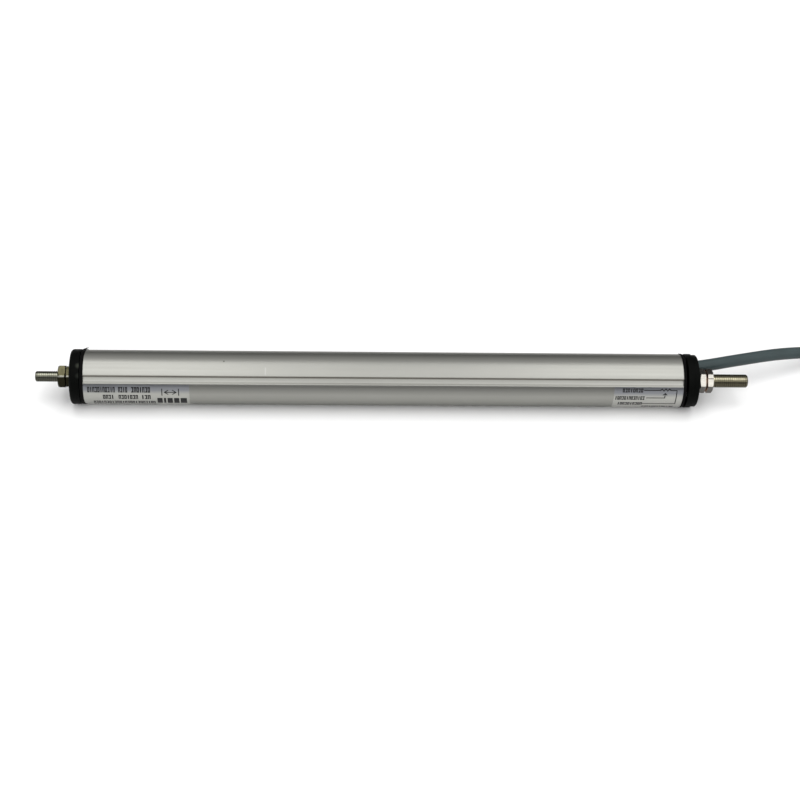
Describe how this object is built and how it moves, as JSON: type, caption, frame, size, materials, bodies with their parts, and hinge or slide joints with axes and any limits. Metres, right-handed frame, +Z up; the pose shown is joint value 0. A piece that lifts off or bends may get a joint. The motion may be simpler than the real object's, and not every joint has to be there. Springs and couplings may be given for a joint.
{
  "type": "shock travel sensor",
  "caption": "Slim round linear position sensor with an aluminium tube, black end caps, a sliding threaded rod, a fixed threaded stud and a grey signal cable.",
  "frame": {"origin": "on the floor under the middle of the sensor, measured from the rod's tip to the stud's tip without the cable", "axes": "+X along the sensor towards the cable end, +Y to the side on which the cable leaves, +Z up"},
  "size_m": [0.44, 0.0422, 0.0204],
  "materials": {
    "anodised_aluminium": "satin anodised extrusion",
    "black_cap": "moulded, semi-matt",
    "black_rubber": "matt rubber",
    "bearing_polymer": "machined bearing polymer",
    "rod_steel": "ground and threaded",
    "nickel_steel": "bright nickel plate",
    "carriage_polymer": "moulded acetal",
    "contact_alloy": "spring contact alloy",
    "board_laminate": "laminate with printed tracks",
    "solder": "tinned",
    "cable_sheath": "soft sheath, satin",
    "wire_brown": "wire insulation",
    "wire_yellow": "wire insulation",
    "wire_blue": "wire insulation"
  },
  "bodies": {
    "housing": {"tube_body": "anodised_aluminium", "front_cap": "black_cap", "rear_cap": "black_cap", "front_gasket": "black_rubber", "rear_gasket": "black_rubber", "rod_seal": "black_rubber", "rod_bushing": "bearing_polymer", "resistor_board": "board_laminate", "terminal_1": "solder", "terminal_2": "solder", "terminal_3": "solder", "lead_brown": "wire_brown", "lead_yellow": "wire_yellow", "lead_blue": "wire_blue", "rear_stud": "nickel_steel", "rear_nut_inner": "nickel_steel", "rear_nut_outer": "nickel_steel", "front_screw_1": "nickel_steel", "front_screw_2": "nickel_steel", "front_screw_3": "nickel_steel", "rear_screw_1": "nickel_steel", "rear_screw_2": "nickel_steel", "rear_screw_3": "nickel_steel", "cable": "cable_sheath", "cable_hank": "cable_sheath", "hank_tie": "black_rubber", "core_brown": "wire_brown", "core_yellow": "wire_yellow", "core_blue": "wire_blue"},
    "rod": {"rod": "rod_steel", "rod_nut_inner": "nickel_steel", "rod_nut_outer": "nickel_steel", "carriage": "carriage_polymer", "carriage_nut": "nickel_steel", "wiper_track": "contact_alloy", "wiper_collector": "contact_alloy", "wiper_rivet_1": "contact_alloy", "wiper_rivet_2": "contact_alloy"}
  },
  "joints": [
    {"name": "rod_slide", "type": "slide", "parent": "housing", "child": "rod", "axis": [-1, 0, 0], "range_m": [0, 0.15]}
  ]
}
